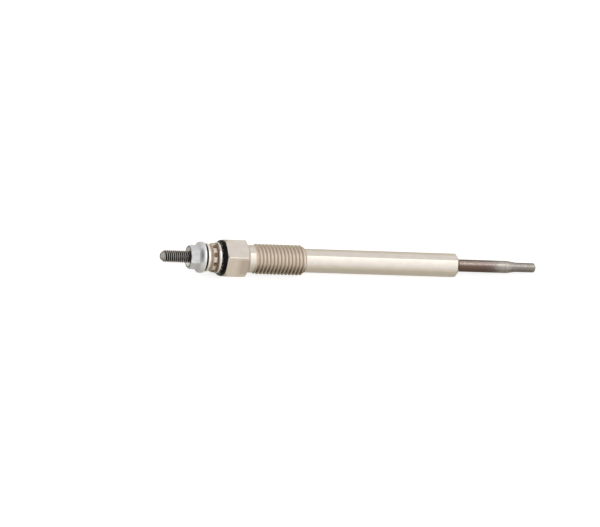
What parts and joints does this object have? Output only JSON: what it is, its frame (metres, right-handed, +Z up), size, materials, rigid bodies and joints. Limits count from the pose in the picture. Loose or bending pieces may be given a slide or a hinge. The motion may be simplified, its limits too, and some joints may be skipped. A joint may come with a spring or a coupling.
{
  "type": "diesel glow plug",
  "caption": "Slim sheathed glow plug with a threaded hexagon shell, long barrel, swaged glow tube and an insulated terminal stud with nut; preheats a diesel combustion chamber.",
  "frame": {"origin": "on the plug's axis, in the middle of the head thread", "axes": "+X along the axis towards the glowing tip, +Z up, out of a hexagon flat, with the opposite flat facing down"},
  "size_m": [0.1306, 0.0138, 0.012],
  "materials": {
    "nickel_plate": "bright warm nickel plating on turned steel",
    "dark_steel": "dark oiled steel thread",
    "zinc_plate": "satin clear zinc plating",
    "crimped_nickel": "bright warm nickel plating with crimp marks",
    "bright_washer": "bright plated sheet steel",
    "black_insulation": "glossy black moulding",
    "seal_rubber": "matt black rubber",
    "heat_tinted_alloy": "nickel alloy with brown, purple and grey heat tint",
    "magnesia": "pressed off-white powder",
    "coil_wire": "dull resistance wire"
  },
  "bodies": {
    "root": {"body_shell": "nickel_plate", "terminal_stud": "dark_steel", "terminal_nut": "zinc_plate", "round_nut": "crimped_nickel", "pressure_washer": "bright_washer", "insulating_bush": "black_insulation", "head_seal": "seal_rubber", "glow_tube": "heat_tinted_alloy", "tube_seal": "seal_rubber", "magnesia_fill": "magnesia", "regulating_coil": "coil_wire", "heating_coil": "coil_wire"}
  },
  "joints": []
}
